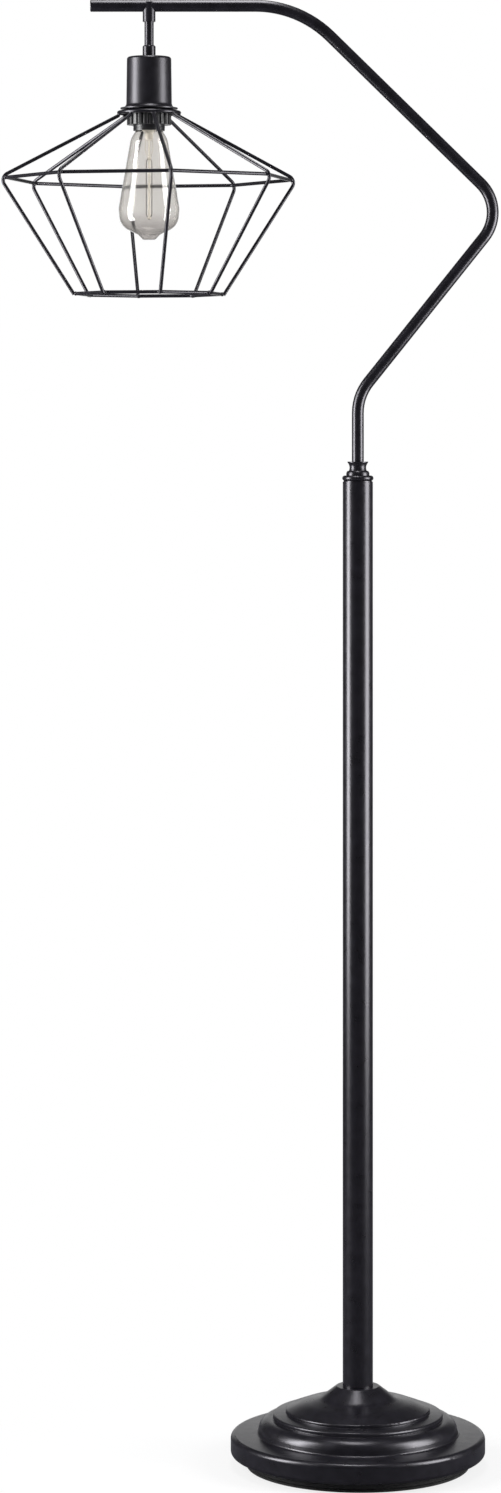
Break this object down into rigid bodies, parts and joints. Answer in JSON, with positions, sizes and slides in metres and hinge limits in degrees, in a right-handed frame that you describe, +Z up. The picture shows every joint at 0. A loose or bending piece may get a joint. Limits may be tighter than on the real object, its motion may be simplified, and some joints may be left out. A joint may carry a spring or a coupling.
{
  "type": "wire cage floor lamp",
  "caption": "Tall black floor lamp: round stepped base, straight pole, angled arm, open wire cage over a clear filament bulb.",
  "frame": {"origin": "centre of the pad's underside, on the pole's axis, at floor level", "axes": "+Z up along the pole; the lamp head hangs towards -X and the arm's crook points to +X; +Y is the rear, where the supply inlet is"},
  "size_m": [0.5257, 0.3102, 1.5525],
  "materials": {
    "base_black": "black powder coat, semi-gloss",
    "pole_black": "black powder coat, semi-gloss",
    "arm_black": "black powder coat, semi-gloss",
    "cup_black": "black powder coat, semi-gloss",
    "cage_black": "black powder coat, semi-gloss",
    "zinc_steel": "zinc plated",
    "cast_iron": "painted black",
    "pad_rubber": "matt foam rubber",
    "black_plastic": "satin",
    "socket_black": "moulded, semi-gloss",
    "ring_black": "moulded, semi-gloss",
    "cap_insulator": "black glass",
    "brass": "satin",
    "solder": "tinned",
    "clear_glass": "clear",
    "mount_glass": "clear",
    "nickel_wire": "satin",
    "filament": "matt",
    "lead_sheath": "matt"
  },
  "bodies": {
    "root": {"base_cover": "base_black", "base_weight": "cast_iron", "base_pad": "pad_rubber", "inlet_bushing": "black_plastic", "base_pipe": "zinc_steel", "base_washer": "zinc_steel", "base_nut": "zinc_steel", "pole_tube": "pole_black", "pole_foot_insert": "zinc_steel", "pole_head_insert": "zinc_steel", "pole_cap": "pole_black", "neck_spool": "pole_black", "arm_tube": "arm_black", "arm_stud": "zinc_steel", "arm_end_plug": "arm_black", "stem_saddle": "arm_black", "stem_tube": "arm_black", "stem_collar": "arm_black", "socket_cup": "cup_black", "cup_lock_nut": "zinc_steel", "socket_body": "socket_black", "socket_screw_shell": "brass", "socket_contact_tab": "brass", "terminal_screws": "brass", "base_lead": "lead_sheath", "arm_lead": "lead_sheath"},
    "cage": {"cage_plate": "cage_black", "cage_crown_ring": "cage_black", "cage_ridge_hoop": "cage_black", "cage_bottom_hoop": "cage_black", "cage_rib_1": "cage_black", "cage_rib_2": "cage_black", "cage_rib_3": "cage_black", "cage_rib_4": "cage_black", "cage_rib_5": "cage_black", "cage_rib_6": "cage_black", "cage_rib_7": "cage_black", "cage_rib_8": "cage_black"},
    "fluted_ring": {"fluted_ring": "ring_black"},
    "bulb": {"bulb_glass": "clear_glass", "bulb_cap_shell": "brass", "bulb_cap_insulator": "cap_insulator", "bulb_contact": "solder", "bulb_mount": "mount_glass", "support_wires": "nickel_wire", "bulb_filament": "filament"}
  },
  "joints": [
    {"name": "bulb_unscrew", "type": "slide", "parent": "root", "child": "bulb", "axis": [0, 0, -1], "range_m": [0, 0.024]},
    {"name": "cage_drop", "type": "slide", "parent": "root", "child": "cage", "axis": [0, 0, -1], "range_m": [0, 0.009]},
    {"name": "ring_turn", "type": "hinge", "parent": "cage", "child": "fluted_ring", "pos_m": [-0.22132, 0, 1.42727], "axis": [0, 0, -1], "range_deg": [0, 1080]}
  ],
  "couplings": [
    {"joint": "ring_turn", "follows": "cage_drop", "rad_per_m": 2094.4}
  ]
}
